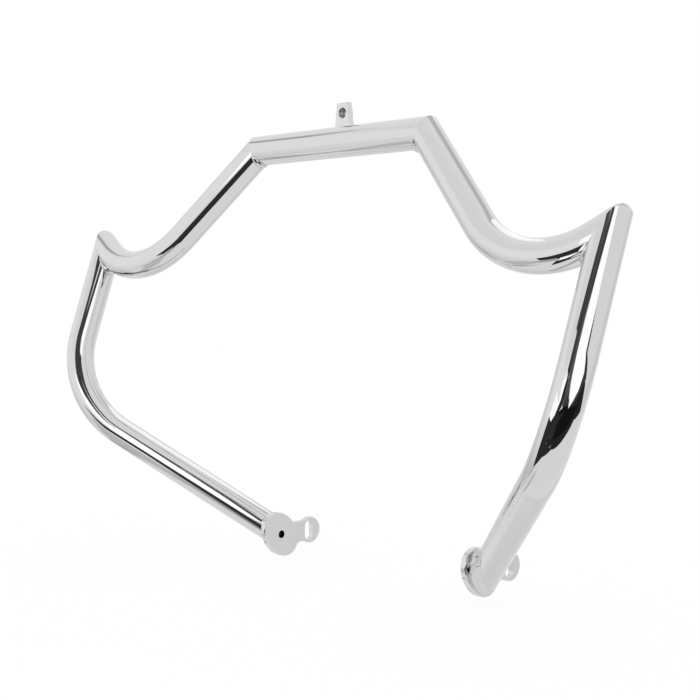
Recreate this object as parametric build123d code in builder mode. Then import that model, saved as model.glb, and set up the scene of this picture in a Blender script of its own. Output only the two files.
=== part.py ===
"""Motorcycle crash bars: an engine guard welded from mitred and bent steel tube.

Millimetres, +Z up, -Y towards the front wheel and +X to the rider's left. The origin is the middle of the
threaded hole in the centre tab, which hangs the guard on the motorcycle's frame.
"""

from build123d import *
from math import atan2, cos, degrees, radians, sin, sqrt
import os

# Tube stock
tube_diameter = 31.75
tube_wall = 2.4
bend_radius = 108.0

# Corners of the tube centre lines, in a front plane that leans back at the top by the rake. The elbow is
# measured out from the middle and down from the crossbar, the horn from the elbow and the knee from the horn.
rake = 20.0
crossbar_half = 123.0
elbow_out = 277.5
elbow_drop = 158.5
horn_reach = 83.5
horn_rise = 50.0
knee_inset = 4.5
knee_drop = 184.5

# The points of the horns are filled with weld metal and ground round
horn_point_round = 7.0
horn_crown_radius = 15.0
horn_fill_depth = 5.0

# Run of the legs behind the knees: the sweep turns from straight inward to the rear, the fall is below level
leg_sweep = 37.0
leg_fall = 31.5

# End plates: an oval pad around the tube's end, and an ear with an upright bolt slot behind it
plate_spacing = 292.0
plate_thickness = 6.35
pad_margin = 5.8
pad_forward = 5.8
pad_rise = 1.8
drain_diameter = 9.0
ear_reach = 44.8
ear_rise = -0.6
ear_radius = 15.0
neck_width = 24.0
neck_fillet = 6.0
slot_width = 12.0
slot_length = 23.0
slot_set_in = 2.5
plate_edge_round = 1.0

# Centre tab: a tapered lug that stands on the crossbar, nearer to its back than to its front
tab_thickness = 6.0
tab_root_width = 26.4
tab_top_width = 17.0
tab_above_hole = 10.8
tab_corner_round = 1.5
tab_from_back = 6.4
hole_above_tube = 14.7
thread_core_diameter = 8.5
thread_chamfer = 1.3

# Weld beads, as the radius of the round bead before it is cut to the metal that it joins
corner_bead = 3.5
foot_bead = 4.0
tab_bead = 2.0

# Worked out from the sizes above
tube_radius = tube_diameter / 2
tube_bore = tube_radius - tube_wall
tab_behind_bar = tube_radius - tab_from_back
hole_above_bar = tube_radius + hole_above_tube
trim = 1.5 * tube_diameter
cutter = 6 * tube_diameter
bar_centre = Vector(0, -tab_behind_bar, -hole_above_bar)
front_normal = Vector(0, -cos(radians(rake)), sin(radians(rake)))
front = Plane(origin=bar_centre, x_dir=(1, 0, 0), z_dir=front_normal)
bar_corner = front.from_local_coords((crossbar_half, 0, 0))
elbow = front.from_local_coords((elbow_out, -elbow_drop, 0))
horn = front.from_local_coords((elbow_out + horn_reach, horn_rise - elbow_drop, 0))
knee = front.from_local_coords((elbow_out + horn_reach - knee_inset, horn_rise - elbow_drop - knee_drop, 0))
leg_run = Vector(
    -cos(radians(leg_fall)) * cos(radians(leg_sweep)),
    cos(radians(leg_fall)) * sin(radians(leg_sweep)),
    -sin(radians(leg_fall)),
)
foot_x = plate_spacing / 2 + plate_thickness
foot = knee + leg_run * ((foot_x - knee.X) / leg_run.X)

bar_run = Vector(1, 0, 0)
arm_run = (elbow - bar_corner).normalized()
horn_run = (horn - elbow).normalized()
drop_run = (knee - horn).normalized()
bar_mitre = Plane(origin=bar_corner, x_dir=arm_run - bar_run, z_dir=bar_run + arm_run)
horn_mitre = Plane(origin=horn, x_dir=drop_run - horn_run, z_dir=horn_run + drop_run)
foot_cut = Plane(origin=foot, x_dir=(0, leg_run.Y, leg_run.Z), z_dir=(-1, 0, 0))


def bent_bar(points, start_cut, end_cut, bar_radius):
    """Round bar along the points, bent at the inner ones and cut by a plane at each end."""
    with BuildPart() as stock:
        with BuildLine() as path:
            if len(points) > 2:
                FilletPolyline(*points, radius=bend_radius)
            else:
                Line(*points)
        with BuildSketch(Plane(origin=path.line @ 0, z_dir=path.line % 0)):
            Circle(bar_radius)
        sweep()
        with Locations(start_cut):
            Box(cutter, cutter, cutter, align=(Align.CENTER, Align.CENTER, Align.MAX), mode=Mode.SUBTRACT)
        with Locations(end_cut):
            Box(cutter, cutter, cutter, align=(Align.CENTER, Align.CENTER, Align.MIN), mode=Mode.SUBTRACT)
    return stock


def oval_bead(centre_plane, long_radius, short_radius, half_angle, bead_radius, joined):
    """Round bead along an oval about the plane's origin, cut back to the surfaces of what it joins."""
    with BuildPart() as bead:
        for arc_size in (-half_angle, half_angle):
            with BuildLine(centre_plane) as path:
                EllipticalCenterArc((0, 0), long_radius, short_radius, 0, arc_size=arc_size)
            with BuildSketch(Plane(origin=path.line @ 0, z_dir=path.line % 0)):
                Circle(bead_radius)
            sweep()
        for metal in joined:
            add(metal, mode=Mode.SUBTRACT)
    return bead


def corner_weld(mitre, run, joined):
    """Bead in the inner corner of a mitre that sinks into the tubes before it reaches their sides."""
    long_radius = tube_radius / run.dot(mitre.z_dir)
    short_radius = tube_radius - 1.3 * corner_bead
    return oval_bead(mitre, long_radius, short_radius, 100, corner_bead, joined)


# Tubes are plain bars less their cores. The beads and the tab are cut to the bars.
bar_points = [bar_centre - bar_run * (crossbar_half + trim), bar_centre + bar_run * (crossbar_half + trim)]
arm_points = [bar_corner - arm_run * trim, elbow, horn + horn_run * trim]
leg_points = [horn - drop_run * trim, knee, foot + leg_run * trim]
far_mitre = Plane(
    origin=(-bar_corner.X, bar_corner.Y, bar_corner.Z),
    z_dir=(bar_mitre.z_dir.X, -bar_mitre.z_dir.Y, -bar_mitre.z_dir.Z),
)

crossbar_bar = bent_bar(bar_points, far_mitre, bar_mitre, tube_radius)
crossbar_core = bent_bar(bar_points, far_mitre, bar_mitre, tube_bore)
arm_bar = bent_bar(arm_points, bar_mitre, horn_mitre, tube_radius)
arm_core = bent_bar(arm_points, bar_mitre, horn_mitre, tube_bore)
leg_bar = bent_bar(leg_points, horn_mitre, foot_cut, tube_radius)
leg_core = bent_bar(leg_points, horn_mitre, foot_cut, tube_bore)

# Waste that is ground off the horn's point, about a round that touches the outside of both tubes. The round
# is turned about an axis across the mitre, so that the point is crowned from front to back too.
point_sine = horn_run.dot(horn_mitre.z_dir)
point_plane = Plane(origin=horn, x_dir=-horn_mitre.x_dir, z_dir=front_normal)
round_out = (tube_radius - horn_point_round) / point_sine
crown_out = round_out + horn_point_round - horn_crown_radius
crown_centre = point_plane.from_local_coords((crown_out, 0, 0))
with BuildPart() as point_waste:
    with BuildSketch(point_plane) as waste_profile:
        with Locations((round_out + horn_point_round * point_sine, 0)):
            Rectangle(2 * horn_point_round, 4 * horn_point_round, align=(Align.MIN, Align.CENTER))
        with Locations((round_out, 0)):
            Circle(horn_point_round, mode=Mode.SUBTRACT)
    revolve(axis=Axis(crown_centre, point_plane.y_dir), revolution_arc=80)
    revolve(waste_profile.sketch, axis=Axis(crown_centre, -point_plane.y_dir), revolution_arc=80)

with BuildPart() as crossbar:
    add(crossbar_bar.part)
    add(crossbar_core.part, mode=Mode.SUBTRACT)
crossbar.part.label = "crossbar_tube"

with BuildPart() as left_arm:
    add(arm_bar.part)
    add(arm_core.part, mode=Mode.SUBTRACT)
    add(point_waste.part, mode=Mode.SUBTRACT)
left_arm.part.label = "left_arm_tube"

with BuildPart() as left_leg:
    add(leg_bar.part)
    add(leg_core.part, mode=Mode.SUBTRACT)
    add(point_waste.part, mode=Mode.SUBTRACT)
left_leg.part.label = "left_leg_tube"

# End plate, drawn on its outer face and thickened towards the middle
tube_end_long = tube_radius / abs(leg_run.X)
tube_end_angle = degrees(atan2(leg_run.Z, leg_run.Y))
pad_long = tube_end_long + pad_margin
pad_short = tube_radius + pad_margin
plate_face = Plane(origin=foot + Vector(0, -pad_forward, pad_rise), x_dir=(0, 1, 0), z_dir=(1, 0, 0))
slot_reach = ear_reach - slot_set_in

with BuildSketch(plate_face) as plate_outline:
    Ellipse(pad_long, pad_short, rotation=tube_end_angle)
    with Locations((ear_reach / 2, ear_rise)):
        Rectangle(ear_reach, neck_width)
    with Locations((ear_reach, ear_rise)):
        Circle(ear_radius)
    fillet(plate_outline.vertices(), neck_fillet)

with BuildPart() as left_plate:
    extrude(plate_outline.sketch, amount=-plate_thickness)
    fillet(left_plate.faces().filter_by(Axis.X).edges(), plate_edge_round)
    with BuildSketch(plate_face):
        with Locations((slot_reach, ear_rise)):
            SlotOverall(slot_length, slot_width, rotation=90)
        Circle(drain_diameter / 2)
    extrude(amount=-plate_thickness, mode=Mode.SUBTRACT)
left_plate.part.label = "left_end_plate"

# Centre tab, coped to sit on the crossbar
with BuildPart() as tab:
    with BuildSketch(Plane.XZ):
        with BuildLine():
            Polyline(
                (-tab_root_width / 2, -hole_above_bar),
                (-tab_top_width / 2, tab_above_hole),
                (tab_top_width / 2, tab_above_hole),
                (tab_root_width / 2, -hole_above_bar),
                close=True,
            )
        make_face()
    extrude(amount=tab_thickness / 2, both=True)
    fillet(tab.edges().filter_by(Axis.Y).group_by(Axis.Z)[-1], tab_corner_round)
    with BuildSketch(Plane.XZ):
        Circle(thread_core_diameter / 2)
    extrude(amount=tab_thickness, both=True, mode=Mode.SUBTRACT)
    chamfer(tab.edges().filter_by(GeomType.CIRCLE).group_by(SortBy.RADIUS)[-1], thread_chamfer)
    add(crossbar_bar.part, mode=Mode.SUBTRACT)
tab.part.label = "centre_tab"

# Weld beads in the mitres' corners, in the horns' ground points, around the feet and along the tab
with BuildPart() as left_bar_weld:
    add(corner_weld(bar_mitre, bar_run, [crossbar_bar.part, arm_bar.part]).part)
left_bar_weld.part.label = "left_bar_weld"

horn_corner_bead = corner_weld(horn_mitre, horn_run, [arm_bar.part, leg_bar.part])
with BuildPart() as left_horn_weld:
    with BuildSketch(point_plane):
        with Locations((tube_bore / point_sine - horn_fill_depth, 0)):
            Rectangle(2 * horn_fill_depth, tube_diameter, align=(Align.MIN, Align.CENTER))
    extrude(amount=tube_radius, both=True)
    add(arm_core.part + leg_core.part, mode=Mode.INTERSECT)
    add(point_waste.part, mode=Mode.SUBTRACT)
    add(horn_corner_bead.part)
left_horn_weld.part.label = "left_horn_weld"

foot_ring = oval_bead(foot_cut, tube_end_long, tube_radius, 180, foot_bead, [])
with BuildPart() as left_foot_weld:
    with BuildSketch(plate_face):
        Ellipse(pad_long - plate_edge_round, pad_short - plate_edge_round, rotation=tube_end_angle)
        with Locations((ear_reach / 2, ear_rise)):
            Rectangle(ear_reach, neck_width - 2 * plate_edge_round)
    extrude(amount=foot_bead)
    add(leg_bar.part, mode=Mode.SUBTRACT)
    add(foot_ring.part, mode=Mode.INTERSECT)
left_foot_weld.part.label = "left_foot_weld"

with BuildPart() as tab_weld:
    for side in (-1, 1):
        face_y = side * tab_thickness / 2
        seat_height = sqrt(tube_radius**2 - (tab_behind_bar + face_y) ** 2)
        seat_z = seat_height - hole_above_bar
        seat_width = tab_root_width - (tab_root_width - tab_top_width) * seat_height / (
            hole_above_bar + tab_above_hole
        )
        with BuildSketch(Plane.YZ):
            with Locations((face_y, seat_z)):
                Circle(tab_bead)
        extrude(amount=seat_width / 2, both=True)
    add(crossbar_bar.part, mode=Mode.SUBTRACT)
    add(tab.part, mode=Mode.SUBTRACT)
tab_weld.part.label = "tab_weld"

# Every left piece has a right one that mirrors it
with BuildPart() as right_arm:
    mirror(left_arm.part, about=Plane.YZ)
right_arm.part.label = "right_arm_tube"

with BuildPart() as right_leg:
    mirror(left_leg.part, about=Plane.YZ)
right_leg.part.label = "right_leg_tube"

with BuildPart() as right_plate:
    mirror(left_plate.part, about=Plane.YZ)
right_plate.part.label = "right_end_plate"

with BuildPart() as right_bar_weld:
    mirror(left_bar_weld.part, about=Plane.YZ)
right_bar_weld.part.label = "right_bar_weld"

with BuildPart() as right_horn_weld:
    mirror(left_horn_weld.part, about=Plane.YZ)
right_horn_weld.part.label = "right_horn_weld"

with BuildPart() as right_foot_weld:
    mirror(left_foot_weld.part, about=Plane.YZ)
right_foot_weld.part.label = "right_foot_weld"

os.makedirs("parts", exist_ok=True)
export_step(crossbar.part, "parts/crossbar_tube.step")
export_step(left_arm.part, "parts/left_arm_tube.step")
export_step(right_arm.part, "parts/right_arm_tube.step")
export_step(left_leg.part, "parts/left_leg_tube.step")
export_step(right_leg.part, "parts/right_leg_tube.step")
export_step(tab.part, "parts/centre_tab.step")
export_step(left_plate.part, "parts/left_end_plate.step")
export_step(right_plate.part, "parts/right_end_plate.step")
export_step(left_bar_weld.part, "parts/left_bar_weld.step")
export_step(right_bar_weld.part, "parts/right_bar_weld.step")
export_step(left_horn_weld.part, "parts/left_horn_weld.step")
export_step(right_horn_weld.part, "parts/right_horn_weld.step")
export_step(left_foot_weld.part, "parts/left_foot_weld.step")
export_step(right_foot_weld.part, "parts/right_foot_weld.step")
export_step(tab_weld.part, "parts/tab_weld.step")
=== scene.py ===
"""Motorcycle crash bars: looks in Blender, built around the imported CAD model. Metres, +Z up."""

import math

import bpy
import bmesh
import numpy as np
from mathutils import Matrix, Vector


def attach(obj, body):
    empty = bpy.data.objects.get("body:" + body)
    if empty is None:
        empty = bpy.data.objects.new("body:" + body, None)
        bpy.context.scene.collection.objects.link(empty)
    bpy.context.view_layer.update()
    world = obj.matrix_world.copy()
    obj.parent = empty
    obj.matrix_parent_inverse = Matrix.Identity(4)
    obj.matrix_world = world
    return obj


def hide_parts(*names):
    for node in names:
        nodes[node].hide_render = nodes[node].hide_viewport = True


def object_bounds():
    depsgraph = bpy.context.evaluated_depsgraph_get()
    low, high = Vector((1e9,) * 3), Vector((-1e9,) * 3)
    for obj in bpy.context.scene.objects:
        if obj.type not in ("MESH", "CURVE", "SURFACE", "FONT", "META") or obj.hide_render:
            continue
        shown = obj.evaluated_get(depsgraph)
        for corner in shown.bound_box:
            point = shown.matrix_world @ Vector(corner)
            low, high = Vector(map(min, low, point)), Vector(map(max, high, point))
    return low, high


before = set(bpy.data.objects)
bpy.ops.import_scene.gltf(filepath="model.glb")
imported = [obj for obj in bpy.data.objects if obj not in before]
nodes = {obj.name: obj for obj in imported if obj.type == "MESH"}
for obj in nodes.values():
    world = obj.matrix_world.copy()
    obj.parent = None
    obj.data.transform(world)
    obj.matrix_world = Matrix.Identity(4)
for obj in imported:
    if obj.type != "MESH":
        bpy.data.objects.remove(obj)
cad_low, cad_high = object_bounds()
scene = bpy.context.scene
scene.view_settings.view_transform = "Standard"

# Camera at the photograph's place
camera_place = Vector((1.02428, -0.993715, -0.175515))
camera_right = Vector((0.69878, 0.71532, -0.00481))
camera_up = Vector((-0.03106, 0.03705, 0.99883))
sensor_width = 36.0
focal_pixels, photo_pixels = 1375.372, 700.0


def make_camera():
    back = camera_right.cross(camera_up).normalized()
    up = back.cross(camera_right).normalized()
    data = bpy.data.cameras.new("camera")
    data.sensor_width = sensor_width
    data.lens = sensor_width * focal_pixels / photo_pixels
    data.clip_start, data.clip_end = 0.05, 60.0
    cam = bpy.data.objects.new("camera", data)
    place = Matrix((camera_right, up, back)).transposed().to_4x4()
    place.translation = camera_place
    cam.matrix_world = place
    scene.collection.objects.link(cam)
    scene.camera = cam


make_camera()

# Centre lines of the tubes as in the CAD model: corners in a front plane that leans back at the top
tube_radius = 0.015875
bend_radius = 0.108
rake = math.radians(20.0)
bar_centre = Vector((0, -0.009475, -0.030575))


def front_point(x, y):
    return bar_centre + Vector((x, y * math.sin(rake), y * math.cos(rake)))


corner = front_point(0.123, 0)
elbow = front_point(0.2775, -0.1585)
horn = front_point(0.361, -0.1085)
knee = front_point(0.3565, -0.293)
leg_sweep, leg_fall = math.radians(37.0), math.radians(31.5)
leg_run = Vector(
    (
        -math.cos(leg_fall) * math.cos(leg_sweep),
        math.cos(leg_fall) * math.sin(leg_sweep),
        -math.sin(leg_fall),
    )
)
foot_x = 0.15235
foot = knee + leg_run * ((foot_x - knee.x) / leg_run.x)


def bend_middle(start, bend, end):
    """Middle of the bend's arc on the centre line."""
    u, v = (bend - start).normalized(), (end - bend).normalized()
    half = u.angle(v) / 2
    return bend + (v - u).normalized() * bend_radius * (1 / math.cos(half) - 1)


# Materials
haze_scale, haze_detail = 60.0, 6.0
haze_low, haze_high = 0.6, 1.4
tint_low, tint_high = (0.97, 0.97, 0.975), (1.02, 1.02, 1.02)
wave_scale, ripple_scale = 9.0, 34.0
bump_height = 0.001
bend_full, bend_none = 0.04, 0.10


def noise(nt, coord, scale, detail):
    node = nt.nodes.new("ShaderNodeTexNoise")
    node.inputs["Scale"].default_value = scale
    node.inputs["Detail"].default_value = detail
    nt.links.new(coord.outputs["Object"], node.inputs["Vector"])
    return node.outputs["Fac"]


def mirrored_place(nt, coord):
    """Place on the left half: the sign of X is dropped, so both halves are alike."""
    split = nt.nodes.new("ShaderNodeSeparateXYZ")
    nt.links.new(coord.outputs["Object"], split.inputs["Vector"])
    half = nt.nodes.new("ShaderNodeMath")
    half.operation = "ABSOLUTE"
    nt.links.new(split.outputs["X"], half.inputs[0])
    join = nt.nodes.new("ShaderNodeCombineXYZ")
    nt.links.new(half.outputs["Value"], join.inputs["X"])
    nt.links.new(split.outputs["Y"], join.inputs["Y"])
    nt.links.new(split.outputs["Z"], join.inputs["Z"])
    return join.outputs["Vector"]


def bend_ripples(nt, coord, normal, depth):
    """Fine ripples where the tubes were bent, fading out along the straight runs."""
    place = mirrored_place(nt, coord)
    ripple = noise(nt, coord, ripple_scale, 1.0)
    for middle in (bend_middle(corner, elbow, horn), bend_middle(horn, knee, foot)):
        reach = nt.nodes.new("ShaderNodeVectorMath")
        reach.operation = "DISTANCE"
        reach.inputs[1].default_value = middle
        nt.links.new(place, reach.inputs[0])
        near = nt.nodes.new("ShaderNodeMapRange")
        near.interpolation_type = "SMOOTHSTEP"
        near.inputs["From Min"].default_value = bend_full
        near.inputs["From Max"].default_value = bend_none
        near.inputs["To Min"].default_value = depth
        near.inputs["To Max"].default_value = 0.0
        nt.links.new(reach.outputs["Value"], near.inputs["Value"])
        bump = nt.nodes.new("ShaderNodeBump")
        bump.inputs["Distance"].default_value = bump_height
        nt.links.new(near.outputs["Result"], bump.inputs["Strength"])
        nt.links.new(ripple, bump.inputs["Height"])
        nt.links.new(normal, bump.inputs["Normal"])
        normal = bump.outputs["Normal"]
    return normal


def chrome(name, base, rough, wave_depth=0.02, ripple_depth=0.0):
    """Mirror chrome with a slight haze and slow waves."""
    mat = bpy.data.materials.new(name)
    mat.use_nodes = True
    nt = mat.node_tree
    bsdf = nt.nodes["Principled BSDF"]
    bsdf.inputs["Metallic"].default_value = 1.0
    coord = nt.nodes.new("ShaderNodeTexCoord")
    haze = noise(nt, coord, haze_scale, haze_detail)
    spread = nt.nodes.new("ShaderNodeMapRange")
    spread.inputs["To Min"].default_value = rough * haze_low
    spread.inputs["To Max"].default_value = rough * haze_high
    nt.links.new(haze, spread.inputs["Value"])
    nt.links.new(spread.outputs["Result"], bsdf.inputs["Roughness"])
    tint = nt.nodes.new("ShaderNodeValToRGB")
    for element, tone in zip(tint.color_ramp.elements, (tint_low, tint_high)):
        element.color = (*(base * channel for channel in tone), 1)
    nt.links.new(haze, tint.inputs["Fac"])
    nt.links.new(tint.outputs["Color"], bsdf.inputs["Base Color"])
    bump = nt.nodes.new("ShaderNodeBump")
    bump.inputs["Strength"].default_value = wave_depth
    bump.inputs["Distance"].default_value = bump_height
    nt.links.new(noise(nt, coord, wave_scale, 1.0), bump.inputs["Height"])
    normal = bump.outputs["Normal"]
    if ripple_depth:
        normal = bend_ripples(nt, coord, normal, ripple_depth)
    nt.links.new(normal, bsdf.inputs["Normal"])
    return mat


tube_chrome = chrome("tube_chrome", base=0.64, rough=0.03, ripple_depth=0.12)
plate_chrome = chrome("plate_chrome", base=0.66, rough=0.14)
weld_chrome = chrome("weld_chrome", base=0.60, rough=0.08)
# Bores: unplated steel, made darker still as painted shade inside the tubes
bore_steel_and_shade = chrome("bore_steel_and_shade", base=0.16, rough=0.45)
# Thread: the bare steel of a tapped hole, made darker as painted shade inside the tab's hole
thread_steel_and_shade = chrome("thread_steel_and_shade", base=0.34, rough=0.30)


def material_for(name):
    if name.endswith("_weld"):
        return weld_chrome
    if name.endswith("_plate") or name == "centre_tab":
        return plate_chrome
    return tube_chrome


for name, obj in nodes.items():
    obj.data.materials.clear()
    obj.data.materials.append(material_for(name))


# Ways to make a piece
merge_gap = 1e-6


def mesh_object(name, mesh):
    obj = bpy.data.objects.new(name, mesh)
    scene.collection.objects.link(obj)
    return obj


def root_piece(name, mesh, replaced=None):
    piece = mesh_object(name, mesh)
    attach(piece, "root")
    if replaced:
        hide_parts(replaced)


def smooth_mesh(name, bm, mat, sharp_degrees):
    """Mesh from a bmesh, shaded smooth up to an angle; the CAD's own normals are dropped."""
    mesh = bpy.data.meshes.new(name)
    bm.to_mesh(mesh)
    bm.free()
    if "custom_normal" in mesh.attributes:
        mesh.attributes.remove(mesh.attributes["custom_normal"])
    mesh.materials.append(mat)
    mesh.shade_smooth()
    mesh.set_sharp_from_angle(angle=math.radians(sharp_degrees))
    return mesh


def node_bmesh(name):
    bm = bmesh.new()
    bm.from_mesh(nodes[name].data)
    bmesh.ops.remove_doubles(bm, verts=bm.verts, dist=merge_gap)
    return bm


def add_piece(name, verts, faces, mat, replaced=None):
    """Smooth closed piece from plain lists."""
    mesh = bpy.data.meshes.new(name)
    mesh.from_pydata([tuple(v) for v in verts], [], faces)
    bm = bmesh.new()
    bm.from_mesh(mesh)
    bpy.data.meshes.remove(mesh)
    bmesh.ops.recalc_face_normals(bm, faces=bm.faces)
    root_piece(name, smooth_mesh(name, bm, mat, sharp_degrees=35.0), replaced)


def ring_faces(sections, count):
    """Quads between closed sections of count points each, around a closed loop."""
    faces = []
    for k in range(sections):
        a, b = k * count, (k + 1) % sections * count
        for n in range(count):
            m = (n + 1) % count
            faces.append((a + n, a + m, b + m, b + n))
    return faces


# Bent tubes: the CAD meshes again, with the exact normals of round tube in place of the facets' own
bore_gap = 0.002
skin_gap = 0.0001
alike_cosine = math.cos(math.radians(12.0))


def tube_normals(points, start, bend, end):
    """Outward normals of points around a centre line with one bend, and their distances from it."""
    u, v = (bend - start).normalized(), (end - bend).normalized()
    set_back = bend_radius * math.tan(u.angle(v) / 2)
    first, last = np.array(bend - u * set_back), np.array(bend + v * set_back)
    axis = np.array(u.cross(v).normalized())
    centre = np.array(bend + (v - u).normalized() * bend_radius / math.cos(u.angle(v) / 2))
    u, v = np.array(u), np.array(v)
    along_u, along_v = (points - first) @ u, (points - last) @ v
    flat = points - centre
    flat = flat - np.outer(flat @ axis, axis)
    nearest = centre + flat * (bend_radius / np.linalg.norm(flat, axis=1))[:, None]
    nearest = np.where((along_u < 0)[:, None], first + np.outer(along_u, u), nearest)
    nearest = np.where(((along_u >= 0) & (along_v > 0))[:, None], last + np.outer(along_v, v), nearest)
    out = points - nearest
    reach = np.linalg.norm(out, axis=1)
    return out / reach[:, None], reach


def fine_tube(name, start, bend, end):
    """Copy of a tube with exact normals on its outside and, in its bore, unplated steel made darker as
    painted shade.
    """
    side = -1 if name.startswith("right") else 1
    start, bend, end = (Vector((p.x * side, p.y, p.z)) for p in (start, bend, end))
    mesh = nodes[name].data.copy()
    corners = np.empty(len(mesh.loops) * 3)
    mesh.corner_normals.foreach_get("vector", corners)
    corners = corners.reshape(-1, 3)
    which = np.empty(len(mesh.loops), dtype=np.int32)
    mesh.loops.foreach_get("vertex_index", which)
    points = np.empty(len(mesh.vertices) * 3)
    mesh.vertices.foreach_get("co", points)
    exact, reach = tube_normals(points.reshape(-1, 3), start, bend, end)
    # Faces inside the bore take the dark steel: unplated steel and painted shade of the bore
    mesh.materials.append(bore_steel_and_shade)
    for face in mesh.polygons:
        if max(reach[i] for i in face.vertices) < tube_radius - bore_gap:
            face.material_index = 1
    exact, reach = exact[which], reach[which]
    alike = (exact * corners).sum(axis=1) > alike_cosine
    outer = alike & (np.abs(reach - tube_radius) < skin_gap)
    mesh.normals_split_custom_set(np.where(outer[:, None], exact, corners).tolist())
    root_piece(name + "_fine", mesh, name)


for side in ("left", "right"):
    fine_tube(side + "_arm_tube", corner, elbow, horn)
    fine_tube(side + "_leg_tube", horn, knee, foot)


# Foot beads: dressed fillets that flow out of the tubes and end in a toe on the plates
pad_offset = Vector((0, -0.0058, 0.0018))
tube_end_long = tube_radius / abs(leg_run.x)
tube_end_angle = math.atan2(leg_run.z, leg_run.y)
pad_margin = 0.0048
flat_long, flat_short = tube_end_long + pad_margin, tube_radius + pad_margin
neck_half = 0.011
ear_rise = -0.0006
no_room = -0.001
bead_width, bead_widest, bead_narrowest = 0.005, 0.0095, -0.0004
bead_height, bead_lean_height = 0.0095, 0.0065
spare_share, spare_back = 0.75, 0.6
thin_share, even_out = 0.25, 9
level_least = 1e-4
bead_steps, flare_steps, toe_steps = 240, 12, 8
flare_handles = (0.5, 0.45)
bead_sink = 0.00004
root_depth, root_height = 0.0012, 0.001


def toe_room(point, out):
    """How far the plate's flat face goes on from a point in a direction."""
    c, n = math.cos(tube_end_angle), math.sin(tube_end_angle)
    rel = point - foot - pad_offset
    px, py = (rel.y * c + rel.z * n) / flat_long, (rel.z * c - rel.y * n) / flat_short
    dx, dy = (out.y * c + out.z * n) / flat_long, (out.z * c - out.y * n) / flat_short
    a, b, d = dx * dx + dy * dy, px * dx + py * dy, px * px + py * py - 1
    root = b * b - a * d
    room = (-b + math.sqrt(root)) / a if root > 0 else no_room
    height = rel.z - ear_rise
    if rel.y > 0 and abs(height) < neck_half:
        edge = neck_half - height if out.z > 0 else neck_half + height
        room = max(room, edge / max(abs(out.z), level_least))
    return room


def bead_profile(width, height, collar_share, toe_reach, toe_share):
    """Steps out from the tube and up along it, from the bead's top to its toe."""
    toe_height = toe_share * height
    collar = collar_share * max(width, 0.0)
    reach = min(width, collar + toe_reach)
    upper, lower = (height * h for h in flare_handles)
    profile = []
    for n in range(flare_steps + 1):
        t = n / flare_steps
        rest = 1 - t
        up = height * rest**3 + 3 * upper * rest * rest * t + 3 * lower * rest * t * t + toe_height * t**3
        profile.append((collar * t * t * (3 - 2 * t), up))
    for n in range(1, toe_steps + 1):
        t = n / toe_steps
        profile.append((collar + (reach - collar) * t * t, toe_height * (1 - t) ** 2))
    return profile


def foot_bead(name, side, fullness, tallest, collar_share, toe_reach, toe_share):
    """Dressed fillet around the foot of a leg, worked out on the left and mirrored for the right."""
    up_tube = -leg_run
    first = up_tube.orthogonal().normalized()
    second = up_tube.cross(first)
    widths, places = [], []
    for k in range(bead_steps):
        angle = 2 * math.pi * k / bead_steps
        radial = first * math.cos(angle) + second * math.sin(angle)
        point = foot + radial * tube_radius - up_tube * (radial.x * tube_radius / up_tube.x)
        out = (point - foot).normalized()
        places.append((radial, point, out))
        room = toe_room(point, out)
        spare = max(0.0, room - bead_width) if out.y < spare_back else 0.0
        widths.append(min(room, bead_width + spare_share * spare, bead_widest))
    near = range(-even_out, even_out + 1)
    verts = []
    for k, (radial, point, out) in enumerate(places):
        width = min(widths[k], sum(widths[(k + d) % bead_steps] for d in near) / len(near))
        width = max(width, bead_narrowest)
        height = bead_height + bead_lean_height * up_tube.dot(out)
        height *= thin_share + (1 - thin_share) * max(width, 0.0) / bead_width
        height = min(fullness * height, tallest)
        ring = []
        for away, up in bead_profile(width, height, collar_share, toe_reach, toe_share):
            ring.append(point + out * away + up_tube * up)
        ring[0] -= radial * bead_sink
        ring.append(point - radial * root_depth + up_tube * root_height)
        verts += [Vector((spot.x * side, spot.y, spot.z)) for spot in ring]
    faces = ring_faces(bead_steps, flare_steps + toe_steps + 2)
    add_piece(name + "_foot_bead", verts, faces, weld_chrome, name + "_foot_weld")


# The left bead is full and reaches far up the tube, the right one is low, as the photo shows them
foot_bead("left", 1, fullness=1.7, tallest=0.038, collar_share=0.78, toe_reach=0.0010, toe_share=0.03)
foot_bead("right", -1, fullness=0.7, tallest=0.010, collar_share=0.30, toe_reach=0.0030, toe_share=0.25)

# Corner beads: the CAD beads again, a little fuller, with the ripples of a weld run across them
longest_edge = 0.0012
ripple_pitch, ripple_height = math.radians(15.0), 0.00005
inner_start, swell_run = 0.006, 0.008


def rippled_bead(name, centre, inner, across_bead, swell):
    """Ripples run around the mitre's middle, on the corner's inner side only, where the bead swells too."""
    flip = Vector((-1 if name.startswith("right") else 1, 1, 1))
    centre, inner, across_bead = centre * flip, inner * flip, across_bead * flip
    bm = node_bmesh(name)
    long_edges = [e for e in bm.edges if e.calc_length() > longest_edge]
    bmesh.ops.subdivide_edges(bm, edges=long_edges, cuts=2, use_grid_fill=True)
    bmesh.ops.triangulate(bm, faces=bm.faces)
    bm.normal_update()
    for v in bm.verts:
        rel = v.co - centre
        depth = rel.dot(inner)
        if depth > inner_start:
            turn = math.atan2(rel.dot(across_bead), depth)
            raised = swell * min(1.0, (depth - inner_start) / swell_run)
            v.co += v.normal * (raised + ripple_height * math.sin(2 * math.pi * turn / ripple_pitch))
    mesh = smooth_mesh(name + "_rippled", bm, weld_chrome, sharp_degrees=40.0)
    root_piece(name + "_rippled", mesh, name)


front_normal = Vector((0, -math.cos(rake), math.sin(rake)))
bar_run = Vector((1, 0, 0))
arm_run, horn_run = (elbow - corner).normalized(), (horn - elbow).normalized()
drop_run = (knee - horn).normalized()
for side in ("left", "right"):
    rippled_bead(side + "_bar_weld", corner, (arm_run - bar_run).normalized(), front_normal, swell=0.0002)
    rippled_bead(side + "_horn_weld", horn, (drop_run - horn_run).normalized(), front_normal, swell=0.0009)

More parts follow.
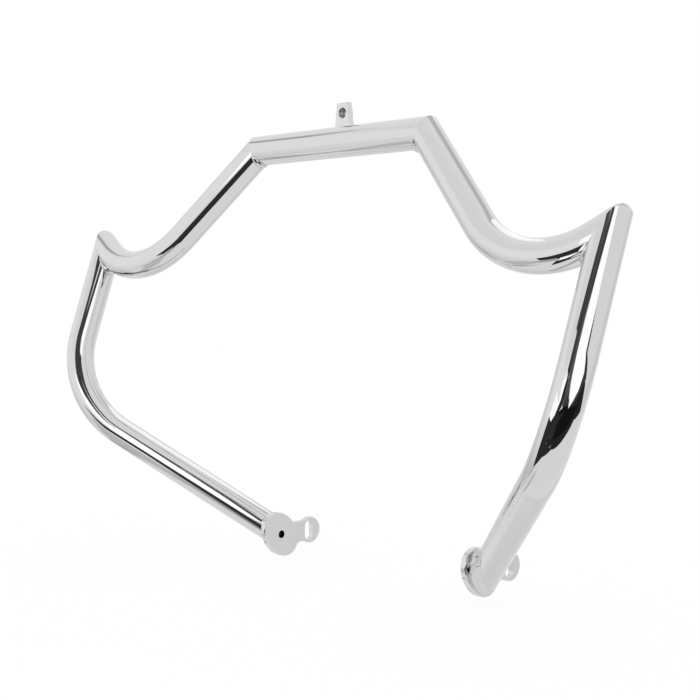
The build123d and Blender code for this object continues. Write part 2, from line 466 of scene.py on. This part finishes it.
# Centre tab: the CAD tab with its outer edges eased
flat_angle, edge_angle = math.radians(0.5), math.radians(60.0)
hole_clear, weld_top = 0.0075, -0.0135
ease_radius, ease_steps = 0.0011, 4


def eased_tab():
    bm = node_bmesh("centre_tab")
    bmesh.ops.dissolve_limit(bm, angle_limit=flat_angle, verts=bm.verts, edges=bm.edges)
    eased = []
    for edge in bm.edges:
        middle = (edge.verts[0].co + edge.verts[1].co) / 2
        on_rim = math.hypot(middle.x, middle.z) > hole_clear and middle.z > weld_top
        if on_rim and len(edge.link_faces) == 2 and edge.calc_face_angle() > edge_angle:
            eased.append(edge)
    bmesh.ops.bevel(
        bm,
        geom=eased,
        offset=ease_radius,
        offset_type="OFFSET",
        segments=ease_steps,
        profile=0.5,
        affect="EDGES",
    )
    bmesh.ops.triangulate(bm, faces=bm.faces)
    mesh = smooth_mesh("centre_tab_eased", bm, plate_chrome, sharp_degrees=32.0)
    root_piece("centre_tab_eased", mesh, "centre_tab")


eased_tab()

# Thread in the tab's hole, with a bush behind the tab that lengthens it
core_radius, crest_radius, thread_pitch = 0.00426, 0.0037, 0.0015
thread_turns, turn_steps = 5.3, 40
crest_half, thread_lap = 0.06, 0.0002
lead_in, least_ridge = 0.4, 0.05
tab_half, mouth_radius, chamfer = 0.003, 0.00555, 0.0013
mouth_skin, mouth_lap = 0.00004, 0.0001
mouth_inset, mouth_wall, mouth_foot = 0.0002, 0.00015, 0.0003
bush_radius, bush_end, bush_round, bush_chamfer = 0.00675, 0.0063, 0.0006, 0.0004
round_steps, spin_steps = 6, 64


def spun(profile):
    """Closed ring about the hole's axis from a closed profile of (radius, y)."""
    verts = []
    for k in range(spin_steps):
        angle = 2 * math.pi * k / spin_steps
        verts += [Vector((r * math.cos(angle), y, r * math.sin(angle))) for r, y in profile]
    return verts, ring_faces(spin_steps, len(profile))


def thread_coil():
    """Ridge of the thread, which fades in at the mouth and out at the bush's end."""
    count = int(turn_steps * thread_turns)
    half_turn = turn_steps * 0.5
    base = core_radius + thread_lap
    verts, faces = [], []
    for k in range(count + 1):
        angle = 2 * math.pi * k / turn_steps
        y = chamfer - tab_half - thread_pitch * lead_in + thread_pitch * k / turn_steps
        fade = min(1.0, k / half_turn, (count - k) / half_turn + least_ridge)
        crest = core_radius - (core_radius - crest_radius) * max(fade, least_ridge)
        for r, dy in ((base, -0.5), (crest, -crest_half), (crest, crest_half), (base, 0.5)):
            verts.append(Vector((r * math.cos(angle), y + dy * thread_pitch, r * math.sin(angle))))
    for k in range(count):
        a, b = k * 4, k * 4 + 4
        for n in range(4):
            m = (n + 1) % 4
            faces.append((a + n, a + m, b + m, b + n))
    faces.append((0, 1, 2, 3))
    faces.append(tuple(count * 4 + n for n in (3, 2, 1, 0)))
    # The coil's dark steel is partly bare steel and partly painted shade of the hole
    add_piece("thread_coil", verts, faces, thread_steel_and_shade)


def thread_mouth():
    """Thin skin on the chamfer in the thread's steel: bare steel of the tapped hole, made darker as painted
    shade of the hole.
    """
    outer, inner = mouth_radius - mouth_inset, core_radius - mouth_skin
    front, back = -tab_half + mouth_lap, chamfer - tab_half
    profile = [
        (outer, front),
        (outer + mouth_wall, front),
        (core_radius + mouth_foot, back + 2 * mouth_lap),
        (inner, back + 2 * mouth_lap),
        (inner, back - mouth_lap),
    ]
    verts, faces = spun(profile)
    add_piece("thread_mouth", verts, faces, thread_steel_and_shade)


def thread_bush():
    seat = tab_half - thread_lap
    profile = [
        (core_radius, seat),
        (core_radius, bush_end - bush_chamfer),
        (core_radius + bush_chamfer, bush_end),
    ]
    for k in range(round_steps + 1):
        angle = math.pi / 2 * (1 - k / round_steps)
        r = bush_radius - bush_round + bush_round * math.cos(angle)
        profile.append((r, bush_end - bush_round + bush_round * math.sin(angle)))
    profile.append((bush_radius, seat))
    verts, faces = spun(profile)
    add_piece("thread_bush", verts, faces, plate_chrome)


thread_coil()
thread_mouth()
thread_bush()

# Stage: pale floor, white surroundings
floor_half, floor_gap = 14.0, 0.004
floor_white, floor_own_light = 0.98, 0.92


def joined(nt, operation, first, second):
    """Math node of two inputs; the second may be a number."""
    node = nt.nodes.new("ShaderNodeMath")
    node.operation = operation
    nt.links.new(first, node.inputs[0])
    if isinstance(second, float):
        node.inputs[1].default_value = second
    else:
        nt.links.new(second, node.inputs[1])
    return node.outputs["Value"]


def make_floor():
    """White to the camera and keeps a soft shadow; the chrome doesn't see it."""
    mesh = bpy.data.meshes.new("floor")
    s, z = floor_half, cad_low.z - floor_gap
    mesh.from_pydata([(-s, -s, z), (s, -s, z), (s, s, z), (-s, s, z)], [], [(0, 1, 2, 3)])
    floor = mesh_object("floor", mesh)
    floor.visible_glossy = False
    mat = bpy.data.materials.new("floor_white")
    mat.use_nodes = True
    nt = mat.node_tree
    nt.nodes.clear()
    out = nt.nodes.new("ShaderNodeOutputMaterial")
    diffuse = nt.nodes.new("ShaderNodeBsdfDiffuse")
    diffuse.inputs["Color"].default_value = (floor_white, floor_white, floor_white, 1)
    glow = nt.nodes.new("ShaderNodeEmission")
    glow.inputs["Strength"].default_value = 1.0
    path = nt.nodes.new("ShaderNodeLightPath").outputs
    seen = joined(nt, "MAXIMUM", path["Is Camera Ray"], path["Is Glossy Ray"])
    seen = joined(nt, "MAXIMUM", seen, path["Is Transmission Ray"])
    mix = nt.nodes.new("ShaderNodeMixShader")
    nt.links.new(joined(nt, "MULTIPLY", seen, floor_own_light), mix.inputs["Fac"])
    nt.links.new(diffuse.outputs["BSDF"], mix.inputs[1])
    nt.links.new(glow.outputs["Emission"], mix.inputs[2])
    nt.links.new(mix.outputs["Shader"], out.inputs["Surface"])
    mesh.materials.append(mat)


def make_world():
    world = bpy.data.worlds.new("studio")
    scene.world = world
    world.use_nodes = True
    background = world.node_tree.nodes["Background"]
    background.inputs["Color"].default_value = (1, 1, 1, 1)
    background.inputs["Strength"].default_value = 1.0


make_floor()
make_world()

# Cards that only the chrome sees: lamps beside the camera, dark gaps around them, the dark floor before the
# table, a grey card of painted shade on the floor in front of the object, two small cards beside the left
# knee, and soft far patches that paint the room's light and shade
before_lamps, at_lamps, behind_lamps = 1.39, 1.40, 1.42
flag_distance = 0.85
roof_height, low_floor, high_floor = 1.0, -0.75, -0.74
towards_camera = Vector((camera_right.y, -camera_right.x, 0)).normalized()
knee_view = math.radians(-125.0)
towards_knee_cards = Vector((math.cos(knee_view), math.sin(knee_view), 0))
knee_dark_distance, knee_lamp_distance = 0.0, -0.01


def reflected_only(obj):
    obj.visible_camera = False
    obj.visible_diffuse = False
    obj.visible_shadow = False
    obj.visible_transmission = False


def glow_material(name, glow):
    mat = bpy.data.materials.new(name)
    mat.use_nodes = True
    nt = mat.node_tree
    nt.nodes.clear()
    out = nt.nodes.new("ShaderNodeOutputMaterial")
    light = nt.nodes.new("ShaderNodeEmission")
    light.inputs["Strength"].default_value = glow
    nt.links.new(light.outputs["Emission"], out.inputs["Surface"])
    return mat, nt, light, out


def card(name, glow, points):
    mesh = bpy.data.meshes.new(name)
    mesh.from_pydata([tuple(p) for p in points], [], [tuple(range(len(points)))])
    obj = mesh_object(name, mesh)
    reflected_only(obj)
    mat, *_ = glow_material(name, glow)
    mesh.materials.append(mat)


def upright(towards, distance, points):
    """Points across and up on an upright plane, square to a level direction from the origin."""
    across = Vector((-towards.y, towards.x, 0))
    return [towards * distance + across * u + Vector((0, 0, v)) for u, v in points]


def wall(distance, *points):
    """Points on an upright plane at the camera's side: across to the camera's right, and up."""
    return upright(towards_camera, distance, points)


def knee_wall(distance, *points):
    """Points across and up on an upright plane close to the left knee."""
    return upright(towards_knee_cards, distance, points)


def level(height, *points):
    return [Vector((x, y, height)) for x, y in points]


def patch(name, glow, toward, half, roll, soft, distance):
    """Far oval card that faces the object and fades out towards its rim.

    toward is its azimuth and elevation, half its half length and half width; angles are in degrees.
    """
    azimuth, elevation, roll = (math.radians(angle) for angle in (*toward, roll))
    half_long, half_short = half
    flat = math.cos(elevation)
    out_dir = Vector((math.cos(azimuth) * flat, math.sin(azimuth) * flat, math.sin(elevation)))
    level_dir = Vector((-math.sin(azimuth), math.cos(azimuth), 0))
    rise_dir = out_dir.cross(level_dir)
    long_axis = (level_dir * math.cos(roll) + rise_dir * math.sin(roll)) * half_long
    short_axis = (rise_dir * math.cos(roll) - level_dir * math.sin(roll)) * half_short
    mesh = bpy.data.meshes.new(name)
    mesh.from_pydata([(-1, -1, 0), (1, -1, 0), (1, 1, 0), (-1, 1, 0)], [], [(0, 1, 2, 3)])
    obj = mesh_object(name, mesh)
    place = Matrix((long_axis, short_axis, out_dir)).transposed().to_4x4()
    place.translation = out_dir * distance
    obj.matrix_world = place
    reflected_only(obj)
    mat, nt, light, out = glow_material(name, glow)
    coord = nt.nodes.new("ShaderNodeTexCoord")
    reach = nt.nodes.new("ShaderNodeVectorMath")
    reach.operation = "LENGTH"
    nt.links.new(coord.outputs["Object"], reach.inputs[0])
    fade = nt.nodes.new("ShaderNodeMapRange")
    fade.interpolation_type = "SMOOTHSTEP"
    fade.inputs["From Min"].default_value = 1.0 - soft
    fade.inputs["From Max"].default_value = 1.0
    fade.inputs["To Min"].default_value = 1.0
    fade.inputs["To Max"].default_value = 0.0
    nt.links.new(reach.outputs["Value"], fade.inputs["Value"])
    clear = nt.nodes.new("ShaderNodeBsdfTransparent")
    mix = nt.nodes.new("ShaderNodeMixShader")
    nt.links.new(fade.outputs["Result"], mix.inputs["Fac"])
    nt.links.new(clear.outputs["BSDF"], mix.inputs[1])
    nt.links.new(light.outputs["Emission"], mix.inputs[2])
    nt.links.new(mix.outputs["Shader"], out.inputs["Surface"])
    mesh.materials.append(mat)


# Lamps, flags and patches in round numbers, placed so that the streaks in the chrome follow the photo's
card(
    "dark_high",
    glow=0.07,
    points=wall(
        before_lamps,
        (-0.55, 0.5),
        (0.2, 0.6),
        (0.15, 0.75),
        (-0.75, 0.7),
        (-0.75, 1.05),
        (-2.55, 1.65),
        (-1.45, 1.05),
        (-1.4, 0.4),
        (-0.75, 0.05),
    ),
)
card(
    "lamp_left",
    glow=1.65,
    points=wall(
        at_lamps,
        (-1.8, -0.3),
        (-0.9, -0.6),
        (-0.6, -0.55),
        (-0.15, 0),
        (-0.5, 0.35),
        (-0.7, 0.05),
        (-2.45, 0.4),
    ),
)
card(
    "lamp_right",
    glow=1.55,
    points=wall(
        at_lamps,
        (0.2, -0.7),
        (0.9, -0.55),
        (1.15, -0.3),
        (0.65, 0.3),
        (0.5, 0.65),
        (-0.1, 0.55),
        (-0.25, 0.45),
        (-0.25, 0),
    ),
)
card(
    "dark_low",
    glow=0.06,
    points=wall(
        behind_lamps,
        (-1.3, -0.5),
        (0.2, -0.6),
        (0.6, -0.75),
        (2.4, -0.7),
        (0.8, 0.25),
        (0, -0.5),
        (-0.4, 0.1),
    ),
)
card(
    "table_front",
    glow=0.025,
    points=level(
        low_floor,
        (0.1, -0.6),
        (0.35, -0.6),
        (0.3, -0.55),
        (0.7, -0.2),
        (1, 0.1),
        (1, 0.6),
        (2.65, 0.7),
        (2.75, -1.2),
        (0.15, -2.45),
        (-0.65, -2.05),
    ),
)
card(
    "roof_lamp",
    glow=1.4,
    points=level(roof_height, (-0.75, 0.2), (0.05, 0.4), (0.05, 0.75), (-0.2, 1.4), (-1.2, 2.15)),
)
card(
    "roof_dark",
    glow=0.55,
    points=level(roof_height, (-2.15, -0.2), (-1.3, -0.6), (-0.95, -0.3), (-1.3, -0.2)),
)
# Grey card on the floor plane in front of the object: painted shade on that floor, as the chrome sees it
card(
    "front_painted_shade",
    glow=0.7,
    points=level(low_floor, (-0.75, -1.15), (-0.25, -0.65), (-0.35, -0.35), (-0.75, -0.2)),
)
card(
    "flag_gap",
    glow=0.125,
    points=wall(flag_distance, (-0.2, 0.2), (-0.05, 0.2), (0, -0.3), (-0.35, -0.45), (-0.25, -0.3)),
)
card(
    "table_deep",
    glow=0.01,
    points=level(high_floor, (0.3, -0.75), (1.4, 0.2), (1.05, -2.4), (0.45, -1.55)),
)
card(
    "table_left",
    glow=0.04,
    points=level(high_floor, (-0.4, -1.05), (0.35, -0.75), (1, -1.25), (-0.5, -2.25), (-1.2, -2.2)),
)
card(
    "knee_dark",
    glow=0.035,
    points=knee_wall(
        knee_dark_distance,
        (0.47, -0.51),
        (0.355, -0.365),
        (0.48, -0.275),
        (0.455, -0.175),
        (0.415, -0.27),
        (0.315, -0.29),
        (0.26, -0.385),
        (0.335, -0.4),
    ),
)
card(
    "knee_lamp",
    glow=1.5,
    points=knee_wall(
        knee_lamp_distance,
        (0.335, -0.245),
        (0.32, -0.285),
        (0.35, -0.305),
        (0.38, -0.3),
        (0.415, -0.27),
        (0.395, -0.165),
        (0.39, -0.275),
    ),
)
# The patches' glow paints the room's light and shade in the chrome: below 1 painted shade, among it the
# object's shadow on the floor, above 1 painted light
patch("dark_front_low", glow=0.1, toward=(-75, -30), half=(1.0, 0.7), roll=40, soft=0.25, distance=3.70)
patch("grey_back_low", glow=0.85, toward=(125, -45), half=(3.0, 1.6), roll=-25, soft=0.5, distance=3.75)
patch("grey_front_low", glow=0.5, toward=(-105, -40), half=(2.5, 0.5), roll=-15, soft=0.6, distance=3.80)
patch("grey_side_low", glow=0.55, toward=(-160, -45), half=(2.0, 0.2), roll=-15, soft=0.6, distance=3.85)
patch("white_front_high", glow=1.0, toward=(-115, 45), half=(2.6, 2.1), roll=-85, soft=0.2, distance=3.90)
patch("grey_back_side", glow=0.8, toward=(145, -5), half=(2.6, 2.2), roll=10, soft=0.65, distance=3.95)
patch("dark_front_high", glow=0.1, toward=(-70, 45), half=(4.0, 0.8), roll=70, soft=0.15, distance=4.00)
patch("grey_back_high", glow=0.65, toward=(90, 60), half=(4.0, 1.3), roll=35, soft=0.8, distance=4.05)
patch("grey_side", glow=0.75, toward=(180, -20), half=(3.8, 1.2), roll=-25, soft=1.0, distance=4.10)
patch("dark_beside_camera", glow=0.15, toward=(-40, 20), half=(1.2, 0.9), roll=-35, soft=0.2, distance=4.15)
patch("light_side_high", glow=1.05, toward=(155, 65), half=(4.0, 2.8), roll=-30, soft=0.5, distance=4.20)
patch("light_front", glow=1.1, toward=(-130, 10), half=(4.0, 2.0), roll=-15, soft=0.15, distance=4.25)
patch("grey_back", glow=0.85, toward=(65, -10), half=(3.8, 1.4), roll=25, soft=0.85, distance=4.30)
